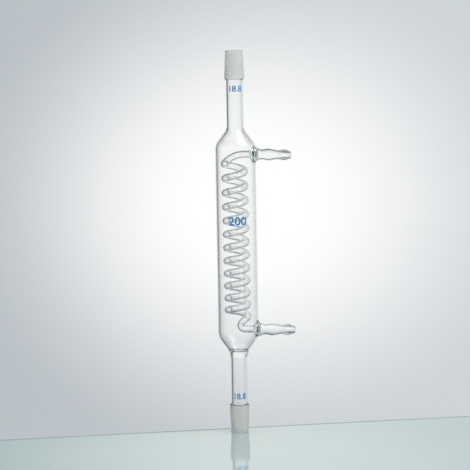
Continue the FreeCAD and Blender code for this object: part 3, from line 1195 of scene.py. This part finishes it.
@dataclass
class Studio:
    """The shelf, the backdrop, the lamp and the camera. Its lengths are in metres.

    A pair of numbers is the range over which one tone goes over into the next. The wall's are
    distances from its middle, and the room's are parts of a direction.
    """

    azimuth: float = 13.0
    distance: float = 2.6
    pitch: float = 5.9
    roll: float = 0.97
    aim_height: float = 0.1863
    aim_left: float = 0.0017
    lens: float = 212.8
    sensor: float = 36.0

    room_left: Colour = (0.05, 0.06, 0.06)
    room_right: Colour = (0.80, 0.82, 0.83)
    room_across: Range = (-0.8, 0.6)
    room_ends: Colour = (0.22, 0.24, 0.24)
    room_upright: Range = (0.25, 0.8)
    room_front: Colour = (0.55, 0.57, 0.58)
    room_turned: Range = (0.0, 0.6)
    room_direct: Range = (0.90, 0.985)
    even_tone: Colour = (0.90, 0.92, 0.93)
    even_light: float = 0.85

    wall_behind: float = 0.55
    wall_middle: float = 0.166
    wall_left: float = 1.0
    wall_right: float = 1.4
    wall_half: float = 1.6
    wall_paint: Colour = (0.80, 0.82, 0.83)
    # The wall's painted light: a painted pool of light, white in its middle, painted shade grey
    # outwards and darker to the left, and bands of painted shade past its left, upper and lower
    # edges.
    glow_tone: Colour = (1.0, 1.0, 1.0)
    glow_aside: float = 0.018
    glow_stretch: tuple[float, float] = (0.85, 1.1)
    glow_reach: Range = (0.045, 0.32)
    grey_left: Colour = (0.50, 0.54, 0.57)
    grey_right: Colour = (0.62, 0.66, 0.685)
    grey_across: Range = (-0.29, 0.29)
    shade_band_tone: Colour = (0.26, 0.28, 0.28)
    shade_band_dark: Colour = (0.055, 0.065, 0.065)
    shade_band_across: Range = (-0.01, 0.10)
    shade_band_above: Range = (0.285, 0.44)
    shade_band_below: Range = (0.31, 0.47)
    shade_band_left: Range = (0.273, 0.36)
    far_dark: Colour = (0.02, 0.025, 0.025)
    far_left: Range = (0.46, 0.56)

    shelf_turn: float = 11.3
    shelf_behind: float = 0.021
    shelf_side: float = 2.5
    shelf_front: float = 3.5
    shelf_tones: tuple[Colour, Colour] = ((0.33, 0.45, 0.445), (0.42, 0.52, 0.51))
    shelf_patches: float = 6.0
    shelf_roughness: float = 0.02
    shelf_ior: float = 1.6
    shelf_drop: float = 0.00005
    edge_width: float = 0.004
    edge_tone: Colour = (0.27, 0.36, 0.36)
    edge_roughness: float = 0.4
    edge_ior: float = 1.2
    edge_drop: float = 0.00003

    lamp_place: tuple[float, float, float] = (0.0, -0.5, 1.6)
    lamp_right: float = 1.0
    lamp_aim: tuple[float, float, float] = (0.0, 0.0, 0.18)
    lamp_size: float = 1.2
    lamp_power: float = 15.0

    def axes(self) -> tuple[Vector, Vector, Vector]:
        """The camera's direction, right and up, before it is rolled."""
        turn, dip = math.radians(self.azimuth), math.radians(self.pitch)
        right = Vector((math.cos(turn), math.sin(turn), 0.0))
        level = Vector((-math.sin(turn), math.cos(turn), 0.0)) * math.cos(dip)
        ahead = level - Vector((0.0, 0.0, math.sin(dip)))
        return ahead, right, right.cross(ahead)

    def place_camera(self) -> None:
        """Sets the camera up."""
        ahead, right, up = self.axes()
        lens = bpy.data.cameras.new("camera")
        lens.lens = self.lens
        lens.sensor_width = self.sensor
        camera = linked("camera", lens)
        aim = Vector((0.0, 0.0, self.aim_height)) - right * self.aim_left
        roll = Matrix.Rotation(math.radians(self.roll), 3, ahead)
        turn = Matrix((roll @ right, roll @ up, -ahead)).transposed()
        camera.matrix_world = Matrix.Translation(aim - ahead * self.distance) @ turn.to_4x4()
        bpy.context.scene.camera = camera

    def light_world(self) -> None:
        """Makes the room round the wall: pale to the right and in front, dark to the left,
        above and below, which draws the thin dark outlines of clear glass. Seen directly and
        straight ahead it has the tone of the point of the wall in that direction, with the wall's
        painted pool of light and painted shade."""
        ahead, right, _ = self.axes()
        dip = math.radians(self.pitch)
        world = bpy.data.worlds.new("studio")
        bpy.context.scene.world = world
        nodes = Nodes(world)
        look = nodes.add("ShaderNodeTexCoord", output="Generated")
        towards, side = nodes.along(look, tuple(ahead)), nodes.along(look, tuple(right))
        away, lift = nodes.along(look, (-right.y, right.x, 0.0)), nodes.along(look, UP)
        beside = nodes.mix(side.between(*self.room_across), self.room_left, self.room_right)
        level = nodes.mix((lift * lift).between(*self.room_upright), beside, self.room_ends)
        tone = nodes.mix((-1 * towards).between(*self.room_turned), level, self.room_front)
        reach = self.wall_behind + self.distance * math.cos(dip)
        rise = self.aim_height + self.distance * math.sin(dip) - self.wall_middle
        # The wall's painted pool of light and painted shade, for the camera straight ahead.
        wall = self.glow(nodes, side / away * reach - self.aim_left, lift / away * reach + rise)
        straight = nodes.path("Camera") * towards.between(*self.room_direct)
        tone = nodes.mix(straight, tone, wall)
        room = nodes.add("ShaderNodeBackground", {}, {"Color": tone})
        even_look = {"Color": self.even_tone, "Strength": self.even_light}
        even = nodes.add("ShaderNodeBackground", {}, even_look)
        both = nodes.add("ShaderNodeMixShader", {}, {0: nodes.seen(), 1: even, 2: room})
        nodes.add("ShaderNodeOutputWorld", {}, {"Surface": both})

    def glow(self, nodes: Nodes, across: Signal, height: Signal) -> Signal:
        """The wall's tone: a painted pool of light, white in its middle, with painted shade grey
        outwards and darker to the left.

        Args:
            nodes: where the nodes are added.
            across: how far to the right of the wall's middle.
            height: how far above its middle.

        Returns:
            The colour.
        """
        wide, tall = self.glow_stretch
        reach = ((across - self.glow_aside) ** 2 * wide + height ** 2 * tall) ** 0.5
        grey = nodes.mix(across.between(*self.grey_across), self.grey_left, self.grey_right)
        return nodes.mix(reach.between(*self.glow_reach), self.glow_tone, grey)

    def hang_backdrop(self) -> None:
        """Hangs the wall behind the condenser. What it shows is painted light: a painted pool of
        light in its middle, painted shade outwards, and bands of painted shade past its left,
        upper and lower edges. It is hidden from direct sight, because it would stand between the
        condenser and a camera behind it."""
        _, right, _ = self.axes()
        side, up = np.array(right), np.array(UP)
        middle = np.array([-right.y, right.x, 0.0]) * self.wall_behind + up * self.wall_middle
        left, far, half = side * -self.wall_left, side * self.wall_right, up * self.wall_half
        corners = middle + np.stack([left - half, far - half, far + half, left + half])
        made, nodes = blank_material("backdrop")
        offset = nodes.vector("SUBTRACT", nodes.place(), tuple(middle.tolist()))
        across, height = nodes.along(offset, tuple(right)), nodes.along(offset, UP)
        leftwards, downwards = -1 * across, -1 * height
        # Painted shade: dark bands past the wall's left, upper and lower edges, and darker towards
        # its left.
        shade_band = nodes.mix(across.between(*self.shade_band_across), self.shade_band_dark, self.shade_band_tone)
        tone = self.glow(nodes, across, height)
        tone = nodes.mix(leftwards.between(*self.shade_band_left), tone, self.shade_band_tone)
        tone = nodes.mix(leftwards.between(*self.far_left), tone, self.far_dark)
        ends = height.between(*self.shade_band_above).larger(downwards.between(*self.shade_band_below))
        tone = nodes.mix(ends, tone, shade_band)
        shown = nodes.add("ShaderNodeEmission", {}, {"Color": tone, "Strength": 1.0})
        dull = nodes.add("ShaderNodeBsdfDiffuse", {}, {"Color": self.wall_paint})
        surface = nodes.add("ShaderNodeMixShader", {}, {0: nodes.seen(), 1: dull, 2: shown})
        nodes.add("ShaderNodeOutputMaterial", {}, {"Surface": surface})
        wall = self.plane("backdrop", corners, made)
        wall.visible_camera = False

    @staticmethod
    def plane(name: str, corners: np.ndarray, made: bpy.types.Material) -> bpy.types.Object:
        """One flat face of the studio, from its four corners in metres."""
        face = mesh_object(name, corners / MM, [[0, 1, 2, 3]])
        face.data.materials.append(made)
        return face

    def lay_shelf(self) -> None:
        """Lays the pale shelf, with its back edge close behind the lower cone."""
        turn = math.radians(self.azimuth + self.shelf_turn)
        side = np.array([math.cos(turn), math.sin(turn), 0.0]) * self.shelf_side
        out = np.array([math.sin(turn), -math.cos(turn), 0.0])
        behind = out * -self.shelf_behind

        def strip(width: float, drop: float) -> np.ndarray:
            """The corners of a strip along the back edge, facing up."""
            front, back = behind + out * width, behind
            return np.stack([front - side, front + side, back + side, back - side]) - [0, 0, drop]

        made, nodes = blank_material("shelf")
        patch = nodes.noise(nodes.place(), self.shelf_patches)
        nodes.surface({
            "Base Color": nodes.mix(patch, *self.shelf_tones),
            "Roughness": (patch + 1.0) * self.shelf_roughness,
            "IOR": self.shelf_ior,
        })
        shelf = self.plane("shelf", strip(self.shelf_front, self.shelf_drop), made)
        made, nodes = blank_material("shelf_edge")
        dull = {"Roughness": self.edge_roughness, "IOR": self.edge_ior}
        nodes.surface({"Base Color": self.edge_tone, **dull})
        edge = self.plane("shelf_edge", strip(self.edge_width, self.edge_drop), made)

    def hang_lamp(self) -> None:
        """Hangs one large soft lamp above, to the camera's right."""
        lamp = bpy.data.lights.new("softbox", "AREA")
        lamp.size = self.lamp_size
        lamp.energy = self.lamp_power
        made = linked("softbox", lamp)
        made.location = Vector(self.lamp_place) + self.axes()[1] * self.lamp_right
        made.rotation_mode = "QUATERNION"
        aim = Vector(self.lamp_aim) - made.location
        made.rotation_quaternion = aim.to_track_quat("-Z", "Y")

    def build(self) -> None:
        """Builds the whole studio."""
        self.place_camera()
        self.light_world()
        self.hang_backdrop()
        self.lay_shelf()
        self.hang_lamp()
        scene = bpy.context.scene
        scene.view_settings.view_transform = "Standard"
        scene.cycles.max_bounces = 32
        scene.cycles.transmission_bounces = 32
        scene.cycles.glossy_bounces = 12


def main() -> None:
    """Builds the condenser from its lower cone to its upper one, then the studio."""
    logging.basicConfig(level=logging.INFO, format="%(name)s: %(message)s")
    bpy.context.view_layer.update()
    upper, lower = Arm("upper"), Arm("lower")
    cones, necks, jacket, hose_arms = GroundCones(), Necks(), Jacket(), HoseArms()
    coil = CoolingCoil()
    coil.top = float(upper.origin[2]) - coil.drop
    coil.bottom = float(lower.origin[2]) + coil.rise

    cones.build("lower_ground_cone", True, necks.lower_radius)
    necks.build_neck("lower_neck", necks.lower_radius)
    necks.build_seam("lower_neck_seal", jacket.slanted_wall)
    jacket.build_lower_shoulder(necks.seam_radius)
    jacket.build_tube([lower, upper])
    jacket.build_upper_shoulder(necks.upper_radius, necks.upper_radius - necks.wall)
    necks.build_neck("upper_neck", necks.upper_radius)
    cones.build("upper_ground_cone", False, necks.upper_radius)
    for arm in (lower, upper):
        hose_arms.build_seal(arm, jacket, coil)
        hose_arms.build_connector(arm, jacket)
    coil.build_coil()
    coil.build_leads(upper, lower, jacket.radius - jacket.wall - hose_arms.depth)

    marks = PrintedMarks()
    marks.build(marks.lower, necks.lower_radius)
    marks.build(marks.upper, necks.upper_radius)
    marks.build(marks.jacket, jacket.radius)

    Studio().build()
    bpy.context.view_layer.update()


if __name__ == "__main__":
    main()
